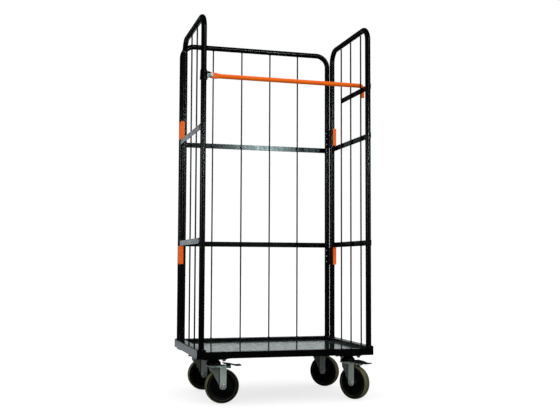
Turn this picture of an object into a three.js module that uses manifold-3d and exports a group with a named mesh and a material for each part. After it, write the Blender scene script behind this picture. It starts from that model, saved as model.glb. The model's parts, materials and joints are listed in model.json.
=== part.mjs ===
// Roll cage container: a three-sided tubular cage on a steel deck with four swivel castors.
// Millimetres, +Z up, origin on the floor under the centre of the bounding box.
// +X is the right-hand side, -Y is the open loading side, +Y is the back panel.
import * as THREE from "three";
import { mergeVertices } from "three/addons/utils/BufferGeometryUtils.js";
import Module from "manifold-3d";

const wasm = await Module();
wasm.setup();

// ---------------------------------------------------------------- driving dimensions
const gap = 0.3; // running gap between pieces that touch

const base = { halfWidth: 400, halfDepth: 300, bottom: 201, top: 240, beamWidth: 38, wall: 2.5 };
const section = { outerRadius: 3, innerRadius: 1, cap: 3, nose: 12 }; // of the base's rolled tubes
const railDepth = 34; // rear cross rail, front to back
const overallHeight = 1700;

const post = { radius: 12.5, wall: 1.6, x: 380, frontY: -282, rearY: 206, backY: 284, bend: 60 };
const backDrop = 4; // the back panel's hoop is this much lower than the side hoops
const rod = { radius: 3.5, sidePitch: 132, backPitch: 147.4 };
const bar = { height: 25, thickness: 3, upperZ: 1192, lowerZ: 702 };
const hookBar = { z: 1418, past: 10 }; // runs this far past the rearmost rod

const hinge = { upperZ: 1249, lowerZ: 646, halfHeight: 43, knuckle: 20, pinX: 384, pinY: 250 };
const barrel = { radius: 9, bore: 5, pin: 4.7 };
const leaf = { thickness: 3, frontInnerX: 380, outerX: 397, backInnerX: 367, backOuterX: 395 };

const deck = { halfWidth: 361.4, top: 227, sheet: 2.5, lip: 21, rearY: 250 };
const channel = { top: 231, depth: 22, wall: 3 }; // folded along the deck's front edge
const rib = { atY: [-110, 70], halfWidth: 20, wall: 3, endGap: 25 };
const deckHinge = { y: 256, z: 220, barrel: 5.5, pin: 3.5, x: 210, earHalf: 20, barrelWidth: 20 };

const tie = { pivotZ: 1420, pivotReach: 34, tube: 10, wall: 1.8, bend: 15, legEndZ: 1389, boltRadius: 5 };
const tieEye = { radius: 12, shoulder: 14, neck: 8, length: 40, thickness: 9 };
const collar = { radius: 17, halfHeight: 22, cheekInner: 5.6, cheekOuter: 8.6 };
const pivotNut = { radius: 8, innerY: 8.9, headOuterY: 14.5, nutOuterY: 14 };

const caster = { x: 310, frontY: -202, rearY: 224, trail: 38, wheelRadius: 75, wheelWidth: 36 };
const mountPlate = { innerX: 250, outerX: 396, halfDepth: 55, thickness: 5 };
const topPlate = { halfX: 53, halfY: 44, thickness: 4 };
const neck = { radius: 24, cupRadius: 33, cupHeight: 18 };
const kingpin = { radius: 8, headRadius: 13, headHeight: 5 };
const fork = { gapHalf: 22.5, thickness: 4, crownTop: 165.6, crownThickness: 7, axleHole: 6.4 };
const forkSide = { frontX: -14, tip: 14.5, seatRadius: 34, kingpinHole: 8.4 };
const axle = { radius: 6, headRadius: 10.5, headHeight: 7, nutHeight: 9 };
const tyre = { innerRadius: 60, shoulder: 7, crown: 1.2 };
const pedal = { pivotX: 66, pivotZ: 158, pinRadius: 3.6, halfWidth: 20, thickness: 5 };
const pedalEar = { radius: 7, innerY: 13.5, outerY: 17.5, topZ: 168.5 };

const corners = [
  { tag: "fl", side: -1, y: caster.frontY, trailAngle: 0, brake: true },
  { tag: "fr", side: 1, y: caster.frontY, trailAngle: -57.7, brake: true },
  { tag: "rl", side: -1, y: caster.rearY, trailAngle: 0, brake: false },
  { tag: "rr", side: 1, y: caster.rearY, trailAngle: -45, brake: false },
];

// Derived sizes
const sideTopZ = overallHeight - post.radius;
const backTopZ = sideTopZ - backDrop;
const barInnerX = post.x + post.radius + gap; // flat bars lie on the outside of the posts
const barInnerY = post.backY + post.radius + gap;
const rodOffset = post.radius - rod.radius; // rods lie just inside the flat bars
const rodBottom = base.top + gap;
const hookLegX = barInnerX + bar.thickness + gap + tie.tube;
const hookBarTop = hookBar.z + bar.height / 2;
const tieEndZ = hookBarTop + tie.bend - 1;

// ---------------------------------------------------------------- materials
const finish = (color, roughness, metalness) => () =>
  new THREE.MeshStandardMaterial({ color, roughness, metalness });
const blackPaint = finish(0x0b0c0d, 0.3, 0.0);
const deckPaint = finish(0x15181a, 0.2, 0.0);
const orangePaint = finish(0xe8590c, 0.4, 0.0);
const zinc = finish(0xa9b3b0, 0.38, 0.9);
const brightSteel = finish(0xc4c8ca, 0.3, 1.0);
const wheelPlastic = finish(0x131313, 0.5, 0.0);
const tyreRubber = finish(0x35342a, 0.7, 0.0);
const blackPlastic = finish(0x0d0d0e, 0.45, 0.0);

// ---------------------------------------------------------------- helpers
const radians = THREE.MathUtils.degToRad;

// A geometry as a manifold solid: only its positions count, with shared vertices merged.
function solid(geometry) {
  const bare = geometry.clone();
  for (const name of ["normal", "uv"]) bare.deleteAttribute(name);
  const merged = mergeVertices(bare, 1e-4);
  return new wasm.Manifold(
    new wasm.Mesh({
      numProp: 3,
      vertProperties: merged.attributes.position.array,
      triVerts: new Uint32Array(merged.index.array),
    }),
  );
}

// A manifold solid back as a three.js geometry.
function geometryOf(shape) {
  const mesh = shape.getMesh();
  const geometry = new THREE.BufferGeometry();
  geometry.setAttribute("position", new THREE.BufferAttribute(mesh.vertProperties, 3));
  geometry.setIndex(new THREE.BufferAttribute(mesh.triVerts, 1));
  geometry.computeVertexNormals();
  return geometry;
}

const join = (...geometries) => geometries.map(solid).reduce((whole, next) => whole.add(next));
const cut = (shape, ...holes) => holes.map(solid).reduce((rest, hole) => rest.subtract(hole), shape);

// A box from its two corners.
function box(x0, x1, y0, y1, z0, z1) {
  const geometry = new THREE.BoxGeometry(Math.abs(x1 - x0), Math.abs(y1 - y0), Math.abs(z1 - z0));
  return geometry.translate((x0 + x1) / 2, (y0 + y1) / 2, (z0 + z1) / 2);
}

// Round bars along each axis.
function uprightCylinder(radius, x, y, z0, z1, sides = 16) {
  const geometry = new THREE.CylinderGeometry(radius, radius, z1 - z0, sides).rotateX(Math.PI / 2);
  return geometry.translate(x, y, (z0 + z1) / 2);
}

function cylinderAlongX(radius, x0, x1, y, z, sides = 12) {
  const geometry = new THREE.CylinderGeometry(radius, radius, x1 - x0, sides).rotateZ(Math.PI / 2);
  return geometry.translate((x0 + x1) / 2, y, z);
}

function cylinderAlongY(radius, x, y0, y1, z, sides = 12) {
  const geometry = new THREE.CylinderGeometry(radius, radius, y1 - y0, sides);
  return geometry.translate(x, (y0 + y1) / 2, z);
}

// A rectangle with rounded corners as a 2-D shape.
function roundedRectangle(x0, x1, y0, y1, radius, Kind = THREE.Shape) {
  const outline = new Kind();
  outline.moveTo(x0 + radius, y0);
  outline.lineTo(x1 - radius, y0);
  outline.absarc(x1 - radius, y0 + radius, radius, -Math.PI / 2, 0, false);
  outline.lineTo(x1, y1 - radius);
  outline.absarc(x1 - radius, y1 - radius, radius, 0, Math.PI / 2, false);
  outline.lineTo(x0 + radius, y1);
  outline.absarc(x0 + radius, y1 - radius, radius, Math.PI / 2, Math.PI, false);
  outline.lineTo(x0, y0 + radius);
  outline.absarc(x0 + radius, y0 + radius, radius, Math.PI, 1.5 * Math.PI, false);
  return outline;
}

// A 2-D shape pushed out to a depth.
function extrude(shape, depth, curveSegments) {
  return new THREE.ExtrudeGeometry(shape, { depth, bevelEnabled: false, curveSegments });
}

// A 2-D shape drawn in plan and raised from z0 to z1.
function slab(shape, z0, z1, curveSegments = 2) {
  return extrude(shape, z1 - z0, curveSegments).translate(0, 0, z0);
}

// A 2-D shape drawn in x and z and pushed out from y0 to y1.
function sidePlate(shape, y0, y1, curveSegments = 5) {
  return extrude(shape, y1 - y0, curveSegments).rotateX(Math.PI / 2).translate(0, y1, 0);
}

// A closed square tube's section, for the base.
function hollowSection(x0, x1, z0, z1) {
  const { outerRadius, innerRadius } = section;
  const { wall } = base;
  const outline = roundedRectangle(x0, x1, z0, z1, outerRadius);
  outline.holes.push(
    roundedRectangle(x0 + wall, x1 - wall, z0 + wall, z1 - wall, innerRadius, THREE.Path),
  );
  return outline;
}

// A ring section for a round tube.
function tubeSection(radius, wall) {
  const ring = new THREE.Shape().absarc(0, 0, radius, 0, 2 * Math.PI, false);
  ring.holes.push(new THREE.Path().absarc(0, 0, radius - wall, 0, 2 * Math.PI, true));
  return ring;
}

// A path of straight runs with rounded bends, cut only where it turns.
class BentPath extends THREE.Curve {
  constructor(points, bend, arcSteps = 6) {
    super();
    const stops = [points[0]];
    const headings = [points[1].clone().sub(points[0]).normalize()];
    for (let i = 1; i < points.length - 1; i++) {
      const before = points[i].clone().sub(points[i - 1]).normalize();
      const after = points[i + 1].clone().sub(points[i]).normalize();
      const turn = before.angleTo(after);
      const reach = bend * Math.tan(turn / 2);
      const start = points[i].clone().addScaledVector(before, -reach);
      const axis = before.clone().cross(after).normalize();
      const inward = axis.clone().cross(before);
      const centre = start.clone().addScaledVector(inward, bend);
      for (let k = 0; k <= arcSteps; k++) {
        const angle = (turn * k) / arcSteps;
        const arm = start.clone().sub(centre).applyAxisAngle(axis, angle);
        stops.push(centre.clone().add(arm));
        headings.push(before.clone().applyAxisAngle(axis, angle));
      }
    }
    const last = points.length - 1;
    stops.push(points[last]);
    headings.push(points[last].clone().sub(points[last - 1]).normalize());
    this.stops = stops;
    this.headings = headings;
    this.steps = stops.length - 1;
  }
  getPoint(t, target = new THREE.Vector3()) {
    return target.copy(this.stops[Math.round(t * this.steps)]);
  }
  getPointAt(t, target) {
    return this.getPoint(t, target);
  }
  getTangent(t, target = new THREE.Vector3()) {
    return target.copy(this.headings[Math.round(t * this.steps)]);
  }
  getTangentAt(t, target) {
    return this.getTangent(t, target);
  }
}

function sweep(outline, path, curveSegments) {
  return new THREE.ExtrudeGeometry(outline, {
    steps: path.steps,
    extrudePath: path,
    bevelEnabled: false,
    curveSegments,
  });
}

const group = new THREE.Group();
const model = new THREE.Group();
group.add(model);

function piece(name, shape, material, parent = model) {
  const geometry = shape.isBufferGeometry ? shape : geometryOf(shape);
  const mesh = new THREE.Mesh(geometry, material());
  mesh.name = name;
  parent.add(mesh);
  return mesh;
}

const sides = [
  { name: "left", sign: -1 },
  { name: "right", sign: 1 },
];

// ---------------------------------------------------------------- panels
// A hoop of round tube: up one post, across the top and down the other.
function hoop(from, to, topZ) {
  const foot = (at) => new THREE.Vector3(at.x, at.y, base.top + gap);
  const head = (at) => new THREE.Vector3(at.x, at.y, topZ);
  const path = new BentPath([foot(from), head(from), head(to), foot(to)], post.bend);
  return sweep(tubeSection(post.radius, post.wall), path, 7);
}

// The height at which a rod, set off from the hoop's centre line, meets the tube above it.
function rodTopUnder(topZ) {
  const innerEdge = rodOffset - rod.radius;
  return topZ - Math.sqrt(post.radius ** 2 - innerEdge ** 2) - gap;
}

const upright = (x, y, top) => uprightCylinder(rod.radius, x, y, rodBottom, top, 12);

// A flat bar on edge, centred on height z.
const flatBar = (x0, x1, y0, y1, z) => box(x0, x1, y0, y1, z - bar.height / 2, z + bar.height / 2);

const barLevels = [
  { level: "upper", z: bar.upperZ },
  { level: "lower", z: bar.lowerZ },
];
const sideMiddleY = (post.frontY + post.rearY) / 2;

for (const { name, sign } of sides) {
  const x = sign * post.x;
  piece(`${name}_side_frame`, hoop({ x, y: post.frontY }, { x, y: post.rearY }, sideTopZ), blackPaint);

  for (const step of [-1, 0, 1]) {
    const y = sideMiddleY + step * rod.sidePitch;
    const shape = upright(sign * (post.x + rodOffset), y, rodTopUnder(sideTopZ));
    piece(`${name}_rod_${step + 2}`, shape, blackPaint);
  }

  const inner = sign * barInnerX;
  const outer = sign * (barInnerX + bar.thickness);
  for (const { level, z } of barLevels) {
    piece(`${name}_${level}_bar`, flatBar(inner, outer, post.frontY, post.rearY, z), blackPaint);
  }
}

// The short bar on the right panel that the tie bar hooks over.
const hookBarRearY = sideMiddleY + rod.sidePitch + hookBar.past;
const hookBarShape = flatBar(barInnerX, barInnerX + bar.thickness, post.frontY, hookBarRearY, hookBar.z);
piece("right_hook_bar", hookBarShape, blackPaint);

piece("back_frame", hoop({ x: -post.x, y: post.backY }, { x: post.x, y: post.backY }, backTopZ), blackPaint);
for (let i = 0; i < 4; i++) {
  const x = (i - 1.5) * rod.backPitch;
  piece(`back_rod_${i + 1}`, upright(x, post.backY + rodOffset, rodTopUnder(backTopZ)), blackPaint);
}
for (const { level, z } of barLevels) {
  const shape = flatBar(-post.x, post.x, barInnerY, barInnerY + bar.thickness, z);
  piece(`back_${level}_bar`, shape, blackPaint);
}

// ---------------------------------------------------------------- base
const railFrontY = base.halfDepth - railDepth;
const beamRearY = railFrontY - gap;

// A hollow side beam with a closed, rounded nose, and the two plates under it that carry the castors.
function sideBeam(sign) {
  const { halfWidth, halfDepth, bottom, top } = base;
  const inner = halfWidth - base.beamWidth;
  const tube = sidePlate(hollowSection(inner, halfWidth, bottom, top), -halfDepth, beamRearY, 1);
  const nose = box(inner + 1, halfWidth - 1, -halfDepth, -halfDepth + section.cap, bottom + 1, top - 1);

  // Plan outline that rounds the outer front corner
  const plan = new THREE.Shape();
  plan.moveTo(inner - 1, beamRearY + 1);
  plan.lineTo(inner - 1, -halfDepth);
  plan.lineTo(halfWidth - section.nose, -halfDepth);
  plan.absarc(halfWidth - section.nose, -halfDepth + section.nose, section.nose, -Math.PI / 2, 0, false);
  plan.lineTo(halfWidth, beamRearY + 1);
  const envelope = slab(plan, bottom - 1, top + 1, 4);

  let beam = join(tube, nose).intersect(solid(envelope));
  for (const y of [caster.frontY, caster.rearY]) {
    const { innerX, outerX, halfDepth: reach, thickness } = mountPlate;
    const outline = roundedRectangle(innerX, outerX, y - reach, Math.min(y + reach, beamRearY), 5);
    beam = beam.add(solid(slab(outline, bottom - thickness, bottom)));
  }
  return sign > 0 ? beam : beam.mirror([1, 0, 0]);
}

for (const { name, sign } of sides) piece(`${name}_base_beam`, sideBeam(sign), blackPaint);

// The rear cross rail, with end caps, a drain hole and the fixed half of the deck's hinges.
function rearRail() {
  const { halfWidth, halfDepth, bottom, top } = base;
  const { y, z, barrel: radius, earHalf, barrelWidth } = deckHinge;
  const tube = sidePlate(hollowSection(railFrontY, halfDepth, bottom, top), -halfWidth, halfWidth, 1);
  const pieces = [tube.rotateZ(Math.PI / 2)];
  for (const sign of [-1, 1]) {
    const outer = sign * halfWidth;
    const inner = outer - sign * section.cap;
    pieces.push(box(outer, inner, railFrontY + 1, halfDepth - 1, bottom + 1, top - 1));
    const pinX = sign * deckHinge.x;
    for (const end of [-1, 1]) {
      const near = pinX + end * (earHalf + 2);
      const far = near + end * barrelWidth;
      const low = Math.min(near, far);
      const high = Math.max(near, far);
      pieces.push(cylinderAlongX(radius, low, high, y, z));
      pieces.push(box(low, high, y, railFrontY + 1, z - radius, z + radius));
    }
    pieces.push(cylinderAlongX(deckHinge.pin, pinX - earHalf - 4, pinX + earHalf + 4, y, z));
  }
  const drain = uprightCylinder(4, 0, railFrontY + railDepth / 2, bottom - 2, bottom + 4, 12);
  return cut(join(...pieces), drain);
}
piece("rear_cross_rail", rearRail(), blackPaint);

// The folding deck: a tray of sheet steel with a channel along its front edge and two ribs below.
function deckTray() {
  const { halfWidth, top, sheet, rearY } = deck;
  const front = -base.halfDepth;
  const under = top - sheet;
  const lipZ = under - deck.lip;
  const channelBack = front + channel.depth;
  const channelRoof = channel.top - channel.wall;
  const lipRear = rearY - 4;
  const across = (y0, y1, z0, z1) => box(-halfWidth, halfWidth, y0, y1, z0, z1);
  const pieces = [
    across(front + 1, rearY, under, top),
    across(front, front + channel.wall, lipZ - 1.5, channel.top),
    across(front, channelBack, channelRoof, channel.top),
    across(channelBack - channel.wall, channelBack, lipZ + 1, channel.top),
    across(lipRear - sheet, lipRear, lipZ + 4, top),
  ];

  // Side lips and hinge ears. The ears' thin roots overlap the rear lip
  const { y, z, barrel: radius, earHalf, pin } = deckHinge;
  const bores = [];
  for (const sign of [-1, 1]) {
    const edge = sign * halfWidth;
    pieces.push(box(edge - sign * sheet, edge, front + 1, lipRear, lipZ, top));
    const x0 = sign * deckHinge.x - earHalf;
    const x1 = sign * deckHinge.x + earHalf;
    pieces.push(cylinderAlongX(radius, x0, x1, y, z));
    pieces.push(box(x0, x1, lipRear - 1, y, z - radius + 1, z + radius - 0.5));
    bores.push(cylinderAlongX(pin + gap, x0 - 1, x1 + 1, y, z));
  }

  // Hat-section ribs, stopping short of the side lips so that their ends stay open
  const ribEnd = halfWidth - rib.endGap;
  const ribBottom = lipZ + 3;
  for (const middle of rib.atY) {
    const y0 = middle - rib.halfWidth;
    const y1 = middle + rib.halfWidth;
    pieces.push(box(-ribEnd, ribEnd, y0, y0 + rib.wall, ribBottom + 2, top - 1));
    pieces.push(box(-ribEnd, ribEnd, y1 - rib.wall, y1, ribBottom + 2, top - 1));
    pieces.push(box(-ribEnd, ribEnd, y0, y1, ribBottom, ribBottom + rib.wall));
  }
  return cut(join(...pieces), ...bores);
}
piece("deck_panel", deckTray(), deckPaint);

// ---------------------------------------------------------------- corner hinges
// Painted leaf on the side frame: it wraps the rear post's front and outer sides and ends in a knuckle.
function sideLeaf(sign, z) {
  const { halfHeight, knuckle, pinX, pinY } = hinge;
  const { thickness, frontInnerX, outerX } = leaf;
  const frontY = post.rearY - post.radius - gap;
  const webX = outerX - thickness;
  const plate = (x0, x1, y0, y1, half) => box(sign * x0, sign * x1, y0, y1, z - half, z + half);
  const shape = join(
    plate(frontInnerX, outerX, frontY - thickness, frontY, halfHeight),
    plate(webX, outerX, frontY - thickness, pinY + 2, halfHeight),
    plate(barInnerX, webX + 1, post.rearY - 6, post.rearY + 6, halfHeight - 3), // seat against the post
    plate(pinX + 4, webX + 1, pinY - 4, pinY + 4, knuckle), // root of the knuckle
    uprightCylinder(barrel.radius, sign * pinX, pinY, z - knuckle, z + knuckle),
  );
  return cut(shape, uprightCylinder(barrel.bore, sign * pinX, pinY, z - halfHeight, z + halfHeight, 12));
}

// Black leaf on the back panel's post, with the hinge pin fixed in its two knuckles.
function backLeaf(sign, z) {
  const { halfHeight, knuckle, pinX, pinY } = hinge;
  const { thickness, backInnerX, backOuterX } = leaf;
  const plateY = post.backY - post.radius - gap;
  const bottom = z - halfHeight - 1;
  const top = z + halfHeight + 1;
  const pieces = [
    box(sign * backInnerX, sign * backOuterX, plateY - thickness, plateY, bottom, top),
    uprightCylinder(barrel.pin, sign * pinX, pinY, bottom, top, 12),
  ];
  for (const end of [-1, 1]) {
    const z0 = z + end * (knuckle + 0.5);
    const z1 = z + end * halfHeight;
    pieces.push(uprightCylinder(barrel.radius, sign * pinX, pinY, Math.min(z0, z1), Math.max(z0, z1)));
    pieces.push(box(sign * (pinX - 5), sign * (pinX + 5), pinY + 5, plateY - 1, z0, z1));
  }
  return join(...pieces);
}

const hingeLevels = [
  { level: "upper", z: hinge.upperZ },
  { level: "lower", z: hinge.lowerZ },
];
for (const { name, sign } of sides) {
  for (const { level, z } of hingeLevels) {
    piece(`${name}_${level}_side_leaf`, sideLeaf(sign, z), orangePaint);
    piece(`${name}_${level}_back_leaf`, backLeaf(sign, z), blackPaint);
  }
}

// ---------------------------------------------------------------- tie bar across the front
// Its own frame stands on the front left post's axis, with local +x along the bar.
const hookLegSetback = 132; // the leg drops over the hook bar this far behind the front posts
const tieRun = new THREE.Vector2(hookLegX + post.x, hookLegSetback);
const tieFrame = new THREE.Group();
tieFrame.position.set(-post.x, post.frontY, 0);
tieFrame.rotation.z = tieRun.angle();
model.add(tieFrame);

// Collar on the post with the two cheeks that hold the bar's eye.
function tieCollar() {
  const { pivotZ, pivotReach } = tie;
  const { radius, halfHeight, cheekInner, cheekOuter } = collar;
  const bottom = pivotZ - halfHeight;
  const top = pivotZ + halfHeight;
  const pieces = [uprightCylinder(radius, 0, 0, bottom, top, 20)];
  const bore = uprightCylinder(post.radius + 2 * gap, 0, 0, bottom - 8, top + 8, 20);
  for (const sign of [-1, 1]) {
    const y0 = Math.min(sign * cheekInner, sign * cheekOuter);
    const y1 = Math.max(sign * cheekInner, sign * cheekOuter);
    pieces.push(box(radius - 5, pivotReach, y0, y1, pivotZ - tieEye.radius, pivotZ + tieEye.radius));
    pieces.push(cylinderAlongY(tieEye.radius, pivotReach, y0, y1, pivotZ, 16));
  }
  const through = cheekOuter + 3;
  const boltHole = cylinderAlongY(tie.boltRadius + gap, pivotReach, -through, through, pivotZ);
  return cut(join(...pieces), bore, boltHole);
}
piece("tie_bar_collar", tieCollar(), blackPaint, tieFrame);

function pivotBolt() {
  const { pivotZ, pivotReach, boltRadius } = tie;
  const { radius, innerY, headOuterY, nutOuterY } = pivotNut;
  return join(
    cylinderAlongY(boltRadius, pivotReach, -innerY - 3, nutOuterY + 1, pivotZ, 12),
    cylinderAlongY(radius, pivotReach, -headOuterY, -innerY, pivotZ, 6),
    cylinderAlongY(radius, pivotReach, innerY, nutOuterY, pivotZ, 6),
  );
}
piece("tie_bar_bolt", pivotBolt(), brightSteel, tieFrame);

// A tube with a flattened eye at the pivot and a hook bent down at its free end.
function tieBar() {
  const { pivotZ, pivotReach, tube, wall, bend, legEndZ, boltRadius } = tie;
  const { radius, shoulder, neck: neckHalf, length, thickness } = tieEye;
  const legX = tieRun.length();
  const eyeEnd = pivotReach + length;
  const shoulderX = eyeEnd - 22;
  const path = new BentPath(
    [
      new THREE.Vector3(eyeEnd - 14, 0, pivotZ),
      new THREE.Vector3(legX, 0, tieEndZ),
      new THREE.Vector3(legX, 0, legEndZ),
    ],
    bend,
  );
  const pipe = sweep(tubeSection(tube, wall), path, 6);
  const eye = new THREE.Shape();
  eye.moveTo(pivotReach, -radius);
  eye.lineTo(shoulderX, -shoulder);
  eye.lineTo(eyeEnd, -neckHalf);
  eye.lineTo(eyeEnd, neckHalf);
  eye.lineTo(shoulderX, shoulder);
  eye.lineTo(pivotReach, radius);
  eye.absarc(pivotReach, 0, radius, Math.PI / 2, 1.5 * Math.PI, false);
  const flat = sidePlate(eye, -thickness / 2, thickness / 2, 8).translate(0, 0, pivotZ);
  const bore = cylinderAlongY(boltRadius + gap, pivotReach, -thickness, thickness, pivotZ, 12);
  return cut(join(pipe, flat), bore);
}
piece("tie_bar", tieBar(), orangePaint, tieFrame);

// ---------------------------------------------------------------- castors
// Fixed half: mounting plate, neck, bearing cup and kingpin.
function swivelPlate() {
  const plateTop = base.bottom - mountPlate.thickness - gap;
  const plateBottom = plateTop - topPlate.thickness;
  const outline = roundedRectangle(-topPlate.halfX, topPlate.halfX, -topPlate.halfY, topPlate.halfY, 6);
  const cupBottom = fork.crownTop + gap;
  const cupTop = cupBottom + neck.cupHeight;
  const headTop = fork.crownTop - fork.crownThickness - gap;
  return join(
    slab(outline, plateBottom, plateTop),
    uprightCylinder(neck.radius, 0, 0, cupTop - 2, plateBottom + 1),
    uprightCylinder(neck.cupRadius, 0, 0, cupBottom, cupTop),
    uprightCylinder(kingpin.radius, 0, 0, headTop - 2, cupBottom + 1, 12),
    uprightCylinder(kingpin.headRadius, 0, 0, headTop - kingpin.headHeight, headTop, 12),
  );
}

// One leg of the fork, seen from the side: straight behind, sloping in front, round at the axle.
function legOutline() {
  const { trail, wheelRadius } = caster;
  const { frontX, tip } = forkSide;
  const top = fork.crownTop - 1;
  const outline = new THREE.Shape();
  outline.moveTo(trail + tip, top);
  outline.lineTo(frontX, top);
  outline.lineTo(frontX + 2, top - 10);
  outline.quadraticCurveTo(frontX + 6, top - 20, frontX + 12, top - 30);
  outline.lineTo(trail - tip, wheelRadius + 4);
  outline.absarc(trail, wheelRadius, tip, Math.PI, 2 * Math.PI, false);
  outline.lineTo(trail + tip, top);
  return outline;
}

// Pressed fork: crown plate with a bearing seat, and two legs.
function casterFork() {
  const { gapHalf, thickness, crownTop, crownThickness, axleHole } = fork;
  const { trail, wheelRadius } = caster;
  const { frontX, tip, seatRadius, kingpinHole } = forkSide;
  const outer = gapHalf + thickness;
  const crownBottom = crownTop - crownThickness;
  const crownPlan = roundedRectangle(frontX, trail + tip, -outer, outer, 8);
  const whole = join(
    slab(crownPlan, crownBottom, crownTop - 1),
    uprightCylinder(seatRadius, 0, 0, crownBottom, crownTop),
    sidePlate(legOutline(), -outer, -gapHalf),
    sidePlate(legOutline(), gapHalf, outer),
  );
  const pinHole = uprightCylinder(kingpinHole, 0, 0, crownBottom - 3, crownTop + 3, 12);
  return cut(whole, pinHole, cylinderAlongY(axleHole, trail, -outer - 1, outer + 1, wheelRadius, 12));
}

function casterAxle() {
  const { radius, headRadius, headHeight, nutHeight } = axle;
  const { trail, wheelRadius } = caster;
  const face = fork.gapHalf + fork.thickness + gap;
  return join(
    cylinderAlongY(radius, trail, -face - 2, face + nutHeight + 2, wheelRadius, 12),
    cylinderAlongY(headRadius, trail, -face - headHeight, -face, wheelRadius, 6),
    cylinderAlongY(headRadius, trail, face, face + nutHeight, wheelRadius, 6),
  );
}

// Turned about the axle: bore, hub, thin web and rim. The profile is radius and half width, bore to rim.
function wheelCore() {
  const bore = axle.radius + gap;
  const hubHalf = fork.gapHalf - 1;
  const half = [
    [bore, hubHalf],
    [19, hubHalf],
    [22, 8],
    [46, 6],
    [50, 15],
    [tyre.innerRadius, 16],
  ];
  const profile = half.map(([r, y]) => new THREE.Vector2(r, -y));
  for (const [r, y] of half.toReversed()) profile.push(new THREE.Vector2(r, y));
  profile.push(profile[0].clone());
  return new THREE.LatheGeometry(profile, 24);
}

// Solid tyre with a crowned tread and round shoulders.
function wheelTyre() {
  const half = caster.wheelWidth / 2;
  const inner = tyre.innerRadius + gap;
  const { shoulder } = tyre;
  const edge = caster.wheelRadius - tyre.crown;
  const profile = [new THREE.Vector2(inner, -half)];
  for (const sign of [-1, 1]) {
    for (let k = 0; k <= 2; k++) {
      const angle = (sign < 0 ? k : 2 - k) * (Math.PI / 4);
      const r = edge - shoulder + shoulder * Math.sin(angle);
      const y = sign * (half - shoulder + shoulder * Math.cos(angle));
      profile.push(new THREE.Vector2(r, y));
    }
    if (sign < 0) profile.push(new THREE.Vector2(caster.wheelRadius, 0));
  }
  profile.push(new THREE.Vector2(inner, half), profile[0].clone());
  return new THREE.LatheGeometry(profile, 32);
}

// Bracket on the fork's crown that carries the brake pedal's pin.
function brakeBracket() {
  const { pivotX, pivotZ, pinRadius, halfWidth } = pedal;
  const backX = caster.trail + forkSide.tip + gap;
  const cheek = pedalEar.innerY - 1.5;
  return join(
    box(backX, pivotX + 10, -cheek, cheek, pivotZ - 6, pivotZ + 5),
    cylinderAlongY(pinRadius, pivotX, -halfWidth, halfWidth, pivotZ, 12),
  );
}

// Bent pedal plate with two ears on the pin.
function brakePedal() {
  const { pivotX, pivotZ, pinRadius, halfWidth, thickness } = pedal;
  const { radius, innerY, outerY, topZ } = pedalEar;
  const underside = [
    [-22, 12],
    [10, 8],
    [32, 2],
    [54, 3],
  ];
  const profile = underside.map(([x, z]) => new THREE.Vector2(pivotX + x, pivotZ + z));
  const upperSide = profile.map((point) => point.clone().add(new THREE.Vector2(0, thickness)));
  const plate = sidePlate(new THREE.Shape([...profile, ...upperSide.reverse()]), -halfWidth, halfWidth);
  const pieces = [plate];
  for (const sign of [-1, 1]) {
    const y0 = Math.min(sign * innerY, sign * outerY);
    const y1 = Math.max(sign * innerY, sign * outerY);
    pieces.push(cylinderAlongY(radius, pivotX, y0, y1, pivotZ, 12));
    pieces.push(box(pivotX - radius, pivotX + radius, y0, y1, pivotZ, topZ));
  }
  const through = halfWidth + 5;
  return cut(join(...pieces), cylinderAlongY(pinRadius + gap, pivotX, -through, through, pivotZ));
}

for (const { tag, side, y, trailAngle, brake } of corners) {
  const stem = new THREE.Group();
  stem.position.set(side * caster.x, y, 0);
  model.add(stem);
  piece(`caster_plate_${tag}`, swivelPlate(), blackPaint, stem);

  const swivel = new THREE.Group();
  swivel.rotation.z = radians(trailAngle);
  stem.add(swivel);
  piece(`caster_fork_${tag}`, casterFork(), zinc, swivel);
  piece(`caster_axle_${tag}`, casterAxle(), brightSteel, swivel);

  const wheel = new THREE.Group();
  wheel.position.set(caster.trail, 0, caster.wheelRadius);
  swivel.add(wheel);
  piece(`wheel_core_${tag}`, wheelCore(), wheelPlastic, wheel);
  piece(`wheel_tyre_${tag}`, wheelTyre(), tyreRubber, wheel);

  if (brake) {
    piece(`brake_bracket_${tag}`, brakeBracket(), zinc, swivel);
    piece(`brake_pedal_${tag}`, brakePedal(), blackPlastic, swivel);
  }
}

// The hook leg and one brake pedal reach past the base, so the model is moved to centre its box.
const middle = new THREE.Box3().setFromObject(model, true).getCenter(new THREE.Vector3());
model.position.set(-middle.x, -middle.y, 0);

export default group;
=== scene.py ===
import json
import math

import bmesh
import bpy
from mathutils import Matrix, Vector

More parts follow.
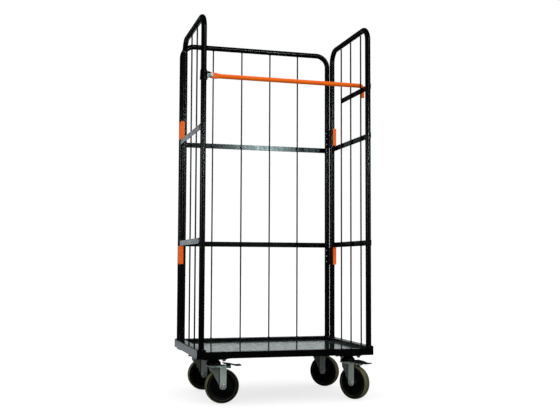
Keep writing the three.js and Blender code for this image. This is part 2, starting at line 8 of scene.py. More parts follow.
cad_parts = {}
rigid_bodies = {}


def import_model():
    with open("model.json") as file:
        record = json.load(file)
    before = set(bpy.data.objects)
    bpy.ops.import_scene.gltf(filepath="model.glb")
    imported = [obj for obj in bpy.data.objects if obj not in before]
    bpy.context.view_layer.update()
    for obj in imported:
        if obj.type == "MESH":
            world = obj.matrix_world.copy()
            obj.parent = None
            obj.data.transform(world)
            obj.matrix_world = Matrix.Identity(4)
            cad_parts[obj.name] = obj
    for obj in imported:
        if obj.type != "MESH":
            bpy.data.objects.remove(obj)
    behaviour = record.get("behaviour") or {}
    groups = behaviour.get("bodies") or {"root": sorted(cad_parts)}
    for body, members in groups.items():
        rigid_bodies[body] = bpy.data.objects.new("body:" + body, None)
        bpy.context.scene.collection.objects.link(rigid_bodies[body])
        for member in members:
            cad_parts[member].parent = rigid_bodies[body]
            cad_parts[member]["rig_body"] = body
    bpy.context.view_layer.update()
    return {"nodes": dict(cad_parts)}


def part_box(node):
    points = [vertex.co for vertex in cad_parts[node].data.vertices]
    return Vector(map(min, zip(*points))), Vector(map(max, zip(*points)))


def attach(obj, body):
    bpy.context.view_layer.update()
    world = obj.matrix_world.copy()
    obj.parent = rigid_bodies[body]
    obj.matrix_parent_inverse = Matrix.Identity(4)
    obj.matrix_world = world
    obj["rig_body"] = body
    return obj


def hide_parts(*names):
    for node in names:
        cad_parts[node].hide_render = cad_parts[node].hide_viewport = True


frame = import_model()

# Looks of a roll cage container, in metres.
# +Z is up, -Y is the open loading side and +X the right-hand side.
# Every piece's place comes from the CAD frame. The sizes below are those of the pieces themselves.

# ---------------------------------------------------------------- sizes
POST_RADIUS = 0.0125
POST_BEND = 0.06
ROD_RADIUS = 0.0035
EDGE = 0.0008  # usual rounding of a sheared or sawn edge
GAP = 0.0003  # between neighbouring solids of the CAD
CHANNEL_DEPTH = 0.022  # of the deck's front channel, painted like the frame
WELD = {"post": 0.0021, "bar": 0.0016, "rod": 0.0013, "ripple": 0.0016}  # bead radii and ripple pitch
BEAD_HALF = {"post": 0.006, "rod": 0.0035}  # half lengths of the beads where a bar crosses

KNUCKLE_RADIUS = 0.009
LEAF_THICKNESS = 0.003
RIVET = {"radius": 0.0034, "height": 0.0018, "pitch": 0.029, "inset": 0.0055}

TIE_TUBE = 0.010
TIE_BEND = 0.015
TIE_EYE = {"radius": 0.012, "shoulder": 0.0135, "half_thickness": 0.0045, "taper": 0.034, "length": 0.048}
COLLAR = {"foot": 0.017, "head": 0.0152, "lip": 0.0012}
CLEVIS = {"root": 0.0135, "root_half": 0.011, "round_end": 0.0085, "inside": 0.0056, "outside": 0.0086}
GUSSET = {"inside": 0.0087, "outside": 0.0102}
TIE_BOLT = {"shank": 0.005, "washer": 0.0085, "seat": 0.0086, "head_foot": 0.0100, "head_top": 0.0150}

PLATE = {"half_x": 0.053, "half_y": 0.044, "corner": 0.010, "thickness": 0.004}
PLATE_BOLT = {"x": 0.040, "y": 0.032, "washer": 0.0085, "washer_thickness": 0.0015, "nut": 0.0075,
              "nut_height": 0.0055, "shank": 0.004, "tail": 0.0012, "head_height": 0.005}
BEAM_PLATE = 0.005  # thickness of the base beams' castor support plates
KINGPIN = {"head": 0.013, "head_face": 0.009, "shank": 0.0078, "bore": 0.0084, "under_crown": 0.0075}
FORK = {"front": -0.014, "tip": 0.0145, "outer": 0.0265, "sheet": 0.004, "shoulder": 0.008, "rake": 0.068}
FORK_STEP = {"flank_end": 0.0190, "band_start": 0.0232, "depth": 0.0024, "fade": 0.010}  # pressed step
AXLE = {"shank": 0.006, "washer": 0.0125, "washer_end": 0.0018, "hexagon": 0.0105,
        "head_end": 0.0075, "nut_end": 0.0085, "thread_end": 0.011}  # the ends lie past the fork's face
WHEEL = {"half": 0.018, "rim": 0.060, "hub_half": 0.0212, "cap_end": 0.0219, "ribs": 10, "rib_half": 0.0012}
TREAD = {"corner": 0.0052, "inset": 0.0016, "start": 0.0690}  # the olive rubber shows outside start; inside it the side is painted near-black as shade

CORNERS = ("fl", "fr", "rl", "rr")
BRAKED = ("fl", "fr")
SIDES = (("left", -1), ("right", 1))
LEVELS = ("upper", "lower")
HOOK_BAR = "right_hook_bar"
# along is the axis that a panel's width runs in: 0 is x and 1 is y
PANELS = {
    "left": {"frame": "left_side_frame", "rods": 3, "along": 1},
    "right": {"frame": "right_side_frame", "rods": 3, "along": 1},
    "back": {"frame": "back_frame", "rods": 4, "along": 0},
}


# ---------------------------------------------------------------- materials
def material(name, color, roughness, mottle, metallic=0.0, specular=0.5, streak=(1, 1, 1), rough_span=0.08,
             grain=(600, 0.03), wear=None):
    """Principled material. color is the main colour and mottle a second one that noise mixes in.
    streak stretches that noise, grain is (scale, bump strength) and wear is (colour, share, scale)."""
    result = bpy.data.materials.new(name)
    result.use_nodes = True
    nodes = result.node_tree.nodes
    links = result.node_tree.links
    shader = nodes["Principled BSDF"]
    shader.inputs["Metallic"].default_value = metallic
    shader.inputs["Specular IOR Level"].default_value = specular

    place = nodes.new("ShaderNodeTexCoord")
    stretch = nodes.new("ShaderNodeMapping")
    stretch.inputs["Scale"].default_value = streak
    links.new(place.outputs["Object"], stretch.inputs["Vector"])

    def noise(scale, detail, source):
        node = nodes.new("ShaderNodeTexNoise")
        node.inputs["Scale"].default_value = scale
        node.inputs["Detail"].default_value = detail
        links.new(source, node.inputs["Vector"])
        return node.outputs["Fac"]

    def ramp(source, stops):
        node = nodes.new("ShaderNodeValToRGB")
        elements = node.color_ramp.elements
        while len(elements) < len(stops):
            elements.new(0.5)
        for element, (position, value) in zip(elements, stops):
            element.position = position
            element.color = (*value, 1.0)
        links.new(source, node.inputs["Fac"])
        return node.outputs["Color"]

    clouds = noise(14.0, 5.0, stretch.outputs["Vector"])
    tint = ramp(clouds, [(0.32, color), (0.72, mottle)])
    if wear:
        worn_color, share, scale = wear
        patches = noise(scale, 8.0, place.outputs["Object"])
        spots = ramp(patches, [(1 - share, (0, 0, 0)), (1.0, (1, 1, 1))])
        mix = nodes.new("ShaderNodeMix")
        mix.data_type = "RGBA"
        mix.inputs["B"].default_value = (*worn_color, 1.0)
        links.new(spots, mix.inputs["Factor"])
        links.new(tint, mix.inputs["A"])
        tint = mix.outputs["Result"]
    links.new(tint, shader.inputs["Base Color"])

    gloss = nodes.new("ShaderNodeMapRange")
    gloss.inputs["From Min"].default_value = 0.3
    gloss.inputs["From Max"].default_value = 0.7
    gloss.inputs["To Min"].default_value = roughness - rough_span
    gloss.inputs["To Max"].default_value = roughness + rough_span
    links.new(noise(40.0, 4.0, stretch.outputs["Vector"]), gloss.inputs["Value"])
    links.new(gloss.outputs["Result"], shader.inputs["Roughness"])

    grain_scale, grain_strength = grain
    bump = nodes.new("ShaderNodeBump")
    bump.inputs["Strength"].default_value = grain_strength
    bump.inputs["Distance"].default_value = 0.001
    links.new(noise(grain_scale, 3.0, place.outputs["Object"]), bump.inputs["Height"])
    links.new(bump.outputs["Normal"], shader.inputs["Normal"])
    return result


MATERIALS = {
    "black_powder_coat": material(
        "black_powder_coat", (0.0006, 0.0007, 0.0007), 0.19, specular=0.40, mottle=(0.0016, 0.0017, 0.0018),
        streak=(3, 3, 0.35), rough_span=0.03, grain=(60, 0.003),
    ),
    "deck_paint": material(
        "deck_paint", (0.0022, 0.0034, 0.0034), 0.13, mottle=(0.010, 0.0125, 0.0125),
        streak=(1.2, 0.4, 1), rough_span=0.05, grain=(300, 0.02), wear=((0.05, 0.055, 0.053), 0.16, 24.0),
    ),
    "orange_paint": material(
        "orange_paint", (0.92, 0.132, 0.001), 0.36, specular=0.20, mottle=(0.98, 0.160, 0.002),
        rough_span=0.05, grain=(60, 0.01), wear=((0.62, 0.085, 0.002), 0.22, 60.0),
    ),
    "zinc_plate": material(
        "zinc_plate", (0.60, 0.70, 0.64), 0.36, metallic=0.65, mottle=(0.80, 0.88, 0.81),
        rough_span=0.10, grain=(260, 0.10), wear=((0.34, 0.35, 0.34), 0.30, 70.0),
    ),
    # zinc_plate darkened: painted shade on the fork legs' set-in flanks. The clevis cheeks use it too. Its
    # lighter patches come near zinc_plate's own colour.
    "darkened_zinc": material(
        "darkened_zinc", (0.20, 0.25, 0.22), 0.34, metallic=0.75, mottle=(0.42, 0.48, 0.43),
        rough_span=0.10, grain=(260, 0.10), wear=((0.62, 0.68, 0.62), 0.22, 90.0),
    ),
    # Near-black zinc: painted shade in the step between a fork leg's flank and its band.
    "step_painted_shade": material(
        "step_painted_shade", (0.006, 0.008, 0.007), 0.40, metallic=0.2, mottle=(0.02, 0.026, 0.023),
        rough_span=0.08, grain=(260, 0.05),
    ),
    "bright_steel": material(
        "bright_steel", (0.66, 0.68, 0.69), 0.26, metallic=0.75, mottle=(0.78, 0.78, 0.76),
        rough_span=0.08, grain=(500, 0.06),
    ),
    "wheel_core": material(
        "wheel_core", (0.0010, 0.0010, 0.0010), 0.42, specular=0.18, mottle=(0.003, 0.003, 0.0026),
        rough_span=0.10, grain=(350, 0.10), wear=((0.022, 0.021, 0.017), 0.22, 45.0),
    ),
    "tyre_rubber": material(
        "tyre_rubber", (0.060, 0.056, 0.022), 0.60, mottle=(0.13, 0.122, 0.062),
        rough_span=0.12, grain=(220, 0.22), wear=((0.20, 0.19, 0.12), 0.30, 60.0),
    ),
    # Near-black: painted shade on the tyre's side, whose rubber is olive like the tread.
    "tyre_side_painted_shade": material(
        "tyre_side_painted_shade", (0.0014, 0.0014, 0.0011), 0.48, specular=0.18, mottle=(0.005, 0.005, 0.004),
        rough_span=0.10, grain=(260, 0.15), wear=((0.030, 0.028, 0.018), 0.22, 50.0),
    ),
    "black_plastic": material(
        "black_plastic", (0.006, 0.006, 0.0065), 0.38, mottle=(0.012, 0.012, 0.012),
        rough_span=0.08, grain=(700, 0.15),
    ),
}


# ---------------------------------------------------------------- mesh helpers
def add_piece(name, mesh_data, body, *finishes, replaces=None, weighted=False):
    """Turns a bmesh into a piece that rides on a body. Its faces' material_index picks from finishes."""
    bmesh.ops.recalc_face_normals(mesh_data, faces=mesh_data.faces)
    mesh = bpy.data.meshes.new(name)
    mesh_data.to_mesh(mesh)
    mesh_data.free()
    for each in finishes:
        mesh.materials.append(MATERIALS[each])
    mesh.shade_smooth()
    mesh.set_sharp_from_angle(angle=math.radians(38))
    piece = bpy.data.objects.new(name, mesh)
    bpy.context.scene.collection.objects.link(piece)
    if weighted:
        modifier = piece.modifiers.new("flat_faces_stay_flat", "WEIGHTED_NORMAL")
        modifier.keep_sharp = True
    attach(piece, body)
    if replaces:
        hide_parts(replaces)
    return piece


def body_of(node):
    """The moving body that a CAD node belongs to."""
    return frame["nodes"][node]["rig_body"]


def centre(node):
    low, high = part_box(node)
    return (low + high) / 2


def skin(bm, rings, loop=False, finish_index=0):
    """Joins rings of points with quads. Open runs are capped at both ends."""
    rows = [[bm.verts.new(point) for point in ring] for ring in rings]
    count = len(rows[0])
    pairs = list(zip(rows, rows[1:]))
    if loop:
        pairs.append((rows[-1], rows[0]))
    for here, there in pairs:
        for i in range(count):
            j = (i + 1) % count
            face = bm.faces.new((here[i], here[j], there[j], there[i]))
            face.material_index = finish_index
    if not loop:
        for row in (rows[0], rows[-1]):
            bm.faces.new(row).material_index = finish_index


def circle(radius, count, flatten=1.0, power=2.0):
    """Points of a round or squarish section as (across, up). flatten narrows it across."""
    points = []
    for i in range(count):
        angle = 2 * math.pi * i / count
        c, s = math.cos(angle), math.sin(angle)
        across = math.copysign(abs(c) ** (2 / power), c)
        up = math.copysign(abs(s) ** (2 / power), s)
        points.append((radius * flatten * across, radius * up))
    return points


def bent_path(corners, bend, steps=14):
    """Points and headings of straight runs joined by round bends."""
    points = [corners[0]]
    headings = [(corners[1] - corners[0]).normalized()]
    for before, corner, after in zip(corners, corners[1:], corners[2:]):
        inward = (corner - before).normalized()
        outward = (after - corner).normalized()
        turn = inward.angle(outward)
        start = corner - inward * bend * math.tan(turn / 2)
        axis = inward.cross(outward).normalized()
        hub = start + axis.cross(inward) * bend
        for k in range(steps + 1):
            spin = Matrix.Rotation(turn * k / steps, 3, axis)
            points.append(hub + spin @ (start - hub))
            headings.append(spin @ inward)
    points.append(corners[-1])
    headings.append((corners[-1] - corners[-2]).normalized())
    return points, headings


def sweep_rings(points, headings, sections, side):
    """Places one section per point. side is the sections' across direction at the start."""
    rings = []
    heading = headings[0]
    across = side
    for point, new_heading, section in zip(points, headings, sections):
        turn = heading.rotation_difference(new_heading)
        across = turn @ across
        heading = new_heading
        up = heading.cross(across).normalized()
        rings.append([point + across * a + up * b for a, b in section])
    return rings


def tube(bm, corners, radius, bend, side, sides=28):
    """A closed-ended round bar with slightly rounded ends."""
    points, headings = bent_path(corners, bend)
    cut = min(EDGE, radius * 0.4)
    near_start = points[0] + headings[0] * cut
    near_end = points[-1] - headings[-1] * cut
    points = [points[0], near_start, *points[1:-1], near_end, points[-1]]
    headings = [headings[0], *headings, headings[-1]]
    full = circle(radius, sides)
    end = circle(radius - cut, sides)
    skin(bm, sweep_rings(points, headings, [end] + [full] * (len(points) - 2) + [end], side))


def slab(bm, low, high, rounding=EDGE, steps=2):
    """A box with rounded edges."""
    size = high - low
    place = Matrix.Translation((low + high) / 2) @ Matrix.Diagonal((*size, 1.0))
    verts = bmesh.ops.create_cube(bm, size=1.0, matrix=place)["verts"]
    edges = list({edge for vert in verts for edge in vert.link_edges})
    width = min(rounding, min(size) * 0.4)
    bmesh.ops.bevel(bm, geom=edges, offset=width, segments=steps, profile=0.5, affect="EDGES")


def lathe(bm, profile, place=Matrix.Identity(4), sides=40, finishes=None):
    """Turns a closed or on-axis profile of (radius, height) about place's z axis."""
    closed = profile[0] == profile[-1]
    outline = profile[:-1] if closed else profile
    rows = []
    for radius, height in outline:
        if radius < 1e-7:
            rows.append([bm.verts.new(place @ Vector((0, 0, height)))])
            continue
        ring = []
        for i in range(sides):
            angle = 2 * math.pi * i / sides
            point = Vector((radius * math.cos(angle), radius * math.sin(angle), height))
            ring.append(bm.verts.new(place @ point))
        rows.append(ring)
    spans = list(zip(rows, rows[1:]))
    if closed:
        spans.append((rows[-1], rows[0]))
    for index, (here, there) in enumerate(spans):
        for i in range(sides):
            j = (i + 1) % sides
            # A ring with one point closes the surface with triangles
            corners = [here[i % len(here)], here[j % len(here)]]
            corners += [there[j % len(there)], there[i % len(there)]]
            face = bm.faces.new(list(dict.fromkeys(corners)))
            face.material_index = finishes[index] if finishes else 0


def prism(bm, outline, low, high, place, rounding=EDGE, steps=2):
    """A plate of a 2-D outline between two heights along place's z, with its rims rounded."""
    bottom = [bm.verts.new(place @ Vector((x, y, low))) for x, y in outline]
    top = [bm.verts.new(place @ Vector((x, y, high))) for x, y in outline]
    floor = bm.faces.new(bottom[::-1])
    roof = bm.faces.new(top)
    for i in range(len(outline)):
        j = (i + 1) % len(outline)
        bm.faces.new((bottom[i], bottom[j], top[j], top[i]))
    rims = list(floor.edges) + list(roof.edges)
    bmesh.ops.bevel(bm, geom=rims, offset=rounding, segments=steps, profile=0.5, affect="EDGES")


def rounded_outline(x0, x1, y0, y1, radius, steps=5):
    """A rectangle with round corners, counter-clockwise."""
    points = []
    for cx, cy, start in ((x1, y1, 0), (x0, y1, 90), (x0, y0, 180), (x1, y0, 270)):
        hub = (cx - math.copysign(radius, cx - x0 - 1e-9), cy - math.copysign(radius, cy - y0 - 1e-9))
        for k in range(steps + 1):
            angle = math.radians(start + 90 * k / steps)
            points.append((hub[0] + radius * math.cos(angle), hub[1] + radius * math.sin(angle)))
    return points


def hexagon(radius):
    return [(radius * math.cos(math.pi * i / 3), radius * math.sin(math.pi * i / 3)) for i in range(6)]


def hex_head(bm, radius, low, high, place):
    """A hexagon nut or bolt head, chamfered on its outer face."""
    prism(bm, hexagon(radius), low, high, place, rounding=min(0.0009, (high - low) * 0.25))


def facing(point, direction):
    """A placement whose z axis points along direction."""
    return Matrix.Translation(point) @ direction.to_track_quat("Z", "Y").to_matrix().to_4x4()


def refined(node, *finishes, rounding=EDGE, steps=2):
    """A CAD node's own shape with its sharp edges rounded, shown in place of the faceted solid."""
    bm = bmesh.new()
    bm.from_mesh(frame["nodes"][node].data)
    bmesh.ops.remove_doubles(bm, verts=bm.verts, dist=1e-6)
    bmesh.ops.dissolve_limit(bm, angle_limit=math.radians(0.5), verts=bm.verts, edges=bm.edges)
    sharp = [e for e in bm.edges if len(e.link_faces) == 2 and e.calc_face_angle(0) > math.radians(36)]
    bmesh.ops.bevel(
        bm, geom=sharp, offset=rounding, segments=steps, profile=0.5, affect="EDGES", clamp_overlap=True,
    )
    for face in bm.faces:
        face.material_index = 0
    return add_piece(f"{node}_finished", bm, body_of(node), *finishes, replaces=node, weighted=True)


# ---------------------------------------------------------------- panels
def feet(node, axis):
    """Where the two legs of a hoop stand, lower value along axis first."""
    low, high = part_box(node)
    rim = [v.co for v in frame["nodes"][node].data.vertices if v.co.z < low.z + 1e-4]
    split = (low[axis] + high[axis]) / 2
    result = []
    for group in ([p for p in rim if p[axis] < split], [p for p in rim if p[axis] > split]):
        result.append(sum(group, Vector()) / len(group))
    return result


def build_hoop(node, axis):
    """A panel's tube, up one leg, across and down the other. Returns where its legs stand."""
    side = Vector((0, 0, 0))
    side[1 - axis] = 1
    first, second = feet(node, axis)
    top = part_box(node)[1].z - POST_RADIUS
    bm = bmesh.new()
    corners = [first, Vector((first.x, first.y, top)), Vector((second.x, second.y, top)), second]
    tube(bm, corners, POST_RADIUS, POST_BEND, side)
    add_piece(f"{node}_tube", bm, body_of(node), "black_powder_coat", replaces=node)
    return first, second


def build_rod(node):
    low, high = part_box(node)
    middle = (low + high) / 2
    bm = bmesh.new()
    ends = [Vector((middle.x, middle.y, low.z)), Vector((middle.x, middle.y, high.z))]
    tube(bm, ends, ROD_RADIUS, 0.0, Vector((1, 0, 0)), sides=16)
    add_piece(f"{node}_wire", bm, body_of(node), "black_powder_coat", replaces=node)


def build_bar(node):
    bm = bmesh.new()
    slab(bm, *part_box(node), rounding=0.0009, steps=3)
    add_piece(f"{node}_flat", bm, body_of(node), "black_powder_coat", replaces=node, weighted=True)


def bead(bm, start, end, radius):
    """A short run of weld with ripples along it."""
    run = end - start
    steps = max(4, round(run.length / WELD["ripple"]))
    heading = run.normalized()
    side = heading.orthogonal().normalized()
    points = [start + run * k / steps for k in range(steps + 1)]
    sections = []
    for k in range(steps + 1):
        swell = math.sin(math.pi * (k + 0.6) / (steps + 1.2)) ** 0.4
        ripple = 1 + 0.09 * (-1) ** k
        sections.append(circle(radius * swell * ripple, 8))
    skin(bm, sweep_rings(points, [heading] * len(points), sections, side))


def bead_ring(bm, hub, radius, thickness, sides=36):
    """A weld all round the foot of a tube."""
    rings = []
    for i in range(sides):
        angle = 2 * math.pi * i / sides
        outward = Vector((math.cos(angle), math.sin(angle), 0))
        size = thickness * (1 + 0.10 * (-1) ** i)
        rings.append([hub + outward * (radius + a) + Vector((0, 0, b)) for a, b in circle(size, 8)])
    skin(bm, rings, loop=True)


def rods_of(panel):
    return [f"{panel}_rod_{i + 1}" for i in range(PANELS[panel]["rods"])]


def build_panel_welds(panel, flats):
    """Welds at a hoop's feet, between its bars and posts, and where its rods meet bars, hoop and base."""
    bm = bmesh.new()
    for foot in hoop_feet[panel]:
        bead_ring(bm, foot, POST_RADIUS + 0.0004, WELD["post"])
    along = PANELS[panel]["along"]
    out = 1 - along  # the axis that points out of the panel
    for node in flats:
        low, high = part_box(node)
        inner = low[out] if abs(low[out]) < abs(high[out]) else high[out]
        for post in hoop_feet[panel]:
            if not low[along] - 0.02 < post[along] < high[along] + 0.02:
                continue
            for z in (low.z, high.z):
                ends = []
                for step in (-BEAD_HALF["post"], BEAD_HALF["post"]):
                    point = Vector((0, 0, z))
                    point[out] = inner
                    point[along] = min(max(post[along] + step, low[along] + 0.001), high[along] - 0.001)
                    ends.append(point)
                bead(bm, *ends, WELD["bar"])
        for rod in rods_of(panel):
            middle = centre(rod)
            if not low[along] < middle[along] < high[along]:
                continue
            for z in (low.z, high.z):
                start = Vector((middle.x, middle.y, z))
                start[out] = inner - math.copysign(ROD_RADIUS * 0.5, inner)
                shift = Vector((0, 0, 0))
                shift[along] = BEAD_HALF["rod"]
                bead(bm, start - shift, start + shift, WELD["rod"])
    for rod in rods_of(panel):
        low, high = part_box(rod)
        middle = (low + high) / 2
        for z in (low.z, high.z):
            bead_ring(bm, Vector((middle.x, middle.y, z)), ROD_RADIUS + 0.0002, WELD["rod"], sides=20)
    add_piece(f"{panel}_panel_welds", bm, "cage", "black_powder_coat")


hoop_feet = {}
for panel, shape in PANELS.items():
    hoop_feet[panel] = build_hoop(shape["frame"], shape["along"])
    for rod in rods_of(panel):
        build_rod(rod)

bars = {panel: [f"{panel}_{level}_bar" for level in LEVELS] for panel in PANELS}
for node in [*bars["left"], *bars["right"], *bars["back"], HOOK_BAR]:
    build_bar(node)
bars["right"].append(HOOK_BAR)
for panel in PANELS:
    build_panel_welds(panel, bars[panel])


# ---------------------------------------------------------------- base and deck
def build_deck():
    """The folding deck. Its front channel is painted like the frame."""
    deck = refined("deck_panel", "deck_paint", "black_powder_coat", rounding=0.0007)
    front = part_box("deck_panel")[0].y
    for face in deck.data.polygons:
        if face.center.y < front + CHANNEL_DEPTH:
            face.material_index = 1


for node in ("left_base_beam", "right_base_beam", "rear_cross_rail"):
    refined(node, "black_powder_coat", rounding=0.0009)
build_deck()


# ---------------------------------------------------------------- corner hinges
def rivet_profile(radius, height):
    """A domed head standing on its flat side."""
    profile = [(0, 0), (radius, 0)]
    for k in range(1, 5):
        angle = math.radians(18 * k)
        profile.append((radius * math.cos(angle), height * math.sin(angle)))
    return profile + [(0, height)]


def blacken_knuckle(side_leaf, back_leaf):
    """Paints the side leaf's knuckle black. It turns on the pin, which stands at the back leaf's front."""
    low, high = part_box(back_leaf)
    pin_y = low.y + KNUCKLE_RADIUS
    for face in side_leaf.data.polygons:
        if face.center.y > pin_y - 1.2 * KNUCKLE_RADIUS:
            face.material_index = 1


def build_hinge(name, sign):
    """Orange leaf on the side panel, black leaf on the back panel and three rivets in the black one."""
    back_leaf = f"{name}_back_leaf"
    side_leaf = refined(f"{name}_side_leaf", "orange_paint", "black_powder_coat", rounding=0.0010)
    blacken_knuckle(side_leaf, back_leaf)
    refined(back_leaf, "black_powder_coat", rounding=0.0008)

    # The leaf's plate runs along the post's front, behind its knuckles
    low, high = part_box(back_leaf)
    plate_front = high.y - LEAF_THICKNESS
    inner_edge = high.x if sign < 0 else low.x
    rivet_x = inner_edge + sign * RIVET["inset"]
    profile = rivet_profile(RIVET["radius"], RIVET["height"])
    bm = bmesh.new()
    for step in (-1, 0, 1):
        at = Vector((rivet_x, plate_front + 0.0001, (low.z + high.z) / 2 + step * RIVET["pitch"]))
        lathe(bm, profile, facing(at, Vector((0, -1, 0))), sides=16)
    add_piece(f"{name}_hinge_rivets", bm, "cage", "zinc_plate")


for name, sign in SIDES:
    for level in LEVELS:
        build_hinge(f"{name}_{level}", sign)


# ---------------------------------------------------------------- tie bar
post_axis = hoop_feet["left"][0]
pivot = centre("tie_bar_bolt")
tie_along = Vector((pivot.x - post_axis.x, pivot.y - post_axis.y, 0)).normalized()
tie_across = Vector((-tie_along.y, tie_along.x, 0))


def build_tie_bar():
    """Flattened eye, round tube and a hook bent down at the free end."""
    # The leg's outer face is the part's farthest point to the right
    tie_low, tie_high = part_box("tie_bar")
    leg_x = tie_high.x - TIE_TUBE
    run = (leg_x - pivot.x) / tie_along.x
    leg_top = pivot + tie_along * run
    leg_top.z = tie_high.z - TIE_TUBE + 0.001
    leg_foot = Vector((leg_top.x, leg_top.y, tie_low.z))
    start = pivot + tie_along * TIE_EYE["length"]
    points, headings = bent_path([start, leg_top, leg_foot], TIE_BEND, steps=10)
    sides = 28
    eye_points = []
    eye_sections = []
    taper = TIE_EYE["taper"]
    bulge = TIE_EYE["shoulder"] - TIE_EYE["radius"]
    stations = [-0.0118, -0.0108, -0.0085, -0.005, 0.0, 0.006, 0.014, 0.021, 0.028, 0.034, 0.040]
    for x in stations:
        half_height = math.sqrt(max(TIE_EYE["radius"] ** 2 - min(x, 0.0) ** 2, 0))
        blend = min(max((x - TIE_EYE["radius"]) / taper, 0.0), 1.0)
        blend = blend * blend * (3 - 2 * blend)
        half_height += bulge * math.sin(math.pi * min(max(x / taper, 0.0), 1.0))
        half_height += (TIE_TUBE - TIE_EYE["radius"]) * blend
        half_width = TIE_EYE["half_thickness"] + (TIE_TUBE - TIE_EYE["half_thickness"]) * blend
        eye_points.append(pivot + tie_along * x)
        eye_sections.append(circle(half_height, sides, half_width / half_height, 5.0 - 3.0 * blend))
    tube_sections = [circle(TIE_TUBE, sides)] * (len(points) - 1) + [circle(TIE_TUBE * 0.92, sides)]
    sections = eye_sections + tube_sections
    all_points = eye_points + points
    all_headings = [tie_along] * len(eye_points) + headings
    bm = bmesh.new()
    skin(bm, sweep_rings(all_points, all_headings, sections, tie_across))
    add_piece("tie_bar_tube", bm, body_of("tie_bar"), "orange_paint", replaces="tie_bar")


def build_tie_collar():
    """Turned sleeve round the post. Returns its middle."""
    low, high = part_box("tie_bar_collar")
    middle = Vector((post_axis.x, post_axis.y, (low.z + high.z) / 2))
    half = (high.z - low.z) / 2
    bore = POST_RADIUS + 0.0006
    foot, head, lip = COLLAR["foot"], COLLAR["head"], COLLAR["lip"]
    profile = [
        (bore, -half), (foot - lip, -half), (foot, -half + lip), (foot, -half + 0.009),
        (foot - 0.0008, -half + 0.011), (head, half - 0.004), (head - lip, half), (bore, half),
        (bore, -half),
    ]
    bm = bmesh.new()
    lathe(bm, profile, Matrix.Translation(middle), sides=48)
    body = body_of("tie_bar_collar")
    add_piece("tie_bar_collar_sleeve", bm, body, "black_powder_coat", replaces="tie_bar_collar")
    return middle


def add_plate_pair(name, outline, size, place, rounding, finish):
    """The same plate on both sides of the tie bar's eye."""
    bm = bmesh.new()
    for sign in (-1, 1):
        near, far = sorted((sign * size["inside"], sign * size["outside"]))
        prism(bm, outline, near, far, place, rounding=rounding)
    add_piece(name, bm, body_of("tie_bar_collar"), finish, weighted=True)


def build_clevis(middle):
    """Two cheeks that hold the bolt, round at the bolt, and a black gusset welded over each one's root."""
    root, round_end = CLEVIS["root"], CLEVIS["round_end"]
    length = (pivot - middle).dot(tie_along)
    place = Matrix((
        (tie_along.x, 0, -tie_across.x, middle.x),
        (tie_along.y, 0, -tie_across.y, middle.y),
        (0, 1, 0, pivot.z),
        (0, 0, 0, 1),
    ))
    cheek = [(root, -CLEVIS["root_half"]), (length, -round_end)]
    for k in range(1, 12):
        angle = math.radians(-90 + 15 * k)
        cheek.append((length + round_end * math.cos(angle), round_end * math.sin(angle)))
    cheek += [(length, round_end), (root, CLEVIS["root_half"])]
    add_plate_pair("tie_bar_clevis_cheeks", cheek, CLEVIS, place, 0.0006, "darkened_zinc")
    wedge = [(root, 0.0050), (0.0325, 0.0098), (0.0315, 0.0118), (root, 0.0165)]
    add_plate_pair("tie_bar_clevis_gussets", wedge, GUSSET, place, 0.0004, "black_powder_coat")


def build_tie_bolt():
    """Hexagon bolt through cheeks and eye, with a washer under its head and a nut at its other end."""
    place = facing(pivot, -tie_across)
    shank, washer, seat = TIE_BOLT["shank"], TIE_BOLT["washer"], TIE_BOLT["seat"]
    head_foot, head_top = TIE_BOLT["head_foot"], TIE_BOLT["head_top"]
    bm = bmesh.new()
    hex_head(bm, 0.0075, head_foot, head_top, place)
    lathe(bm, [(0, seat), (washer, seat), (washer, head_foot), (0, head_foot)], place, sides=28)
    lathe(bm, [(0, -head_top), (shank, -0.0142), (shank, 0.0095), (0, 0.0095)], place, sides=20)
    hex_head(bm, 0.008, -0.0140, -0.0088, place)
    body = body_of("tie_bar_bolt")
    add_piece("tie_bar_bolt_and_nut", bm, body, "bright_steel", replaces="tie_bar_bolt", weighted=True)


build_tie_bar()
build_clevis(build_tie_collar())
build_tie_bolt()


# ---------------------------------------------------------------- castors
def build_castor(tag):
    """One castor, turned as its wheel stands in the frame."""
    plate_low, plate_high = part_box(f"caster_plate_{tag}")
    stem = (plate_low + plate_high) / 2
    hub = centre(f"wheel_tyre_{tag}")
    trail = Vector((hub.x - stem.x, hub.y - stem.y, 0))
    turn = math.atan2(trail.y, trail.x)
    swivel = Matrix.Translation((stem.x, stem.y, 0)) @ Matrix.Rotation(turn, 4, "Z")
    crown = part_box(f"caster_fork_{tag}")[1].z
    build_plate(tag, stem, plate_high.z, crown)
    build_plate_bolts(tag, stem, plate_high.z)
    build_fork(tag, swivel, trail.length, hub.z, crown)
    build_axle(tag, swivel, trail.length, hub.z)
    build_wheel(tag, hub, turn)
    if tag in BRAKED:
        build_brake(tag)


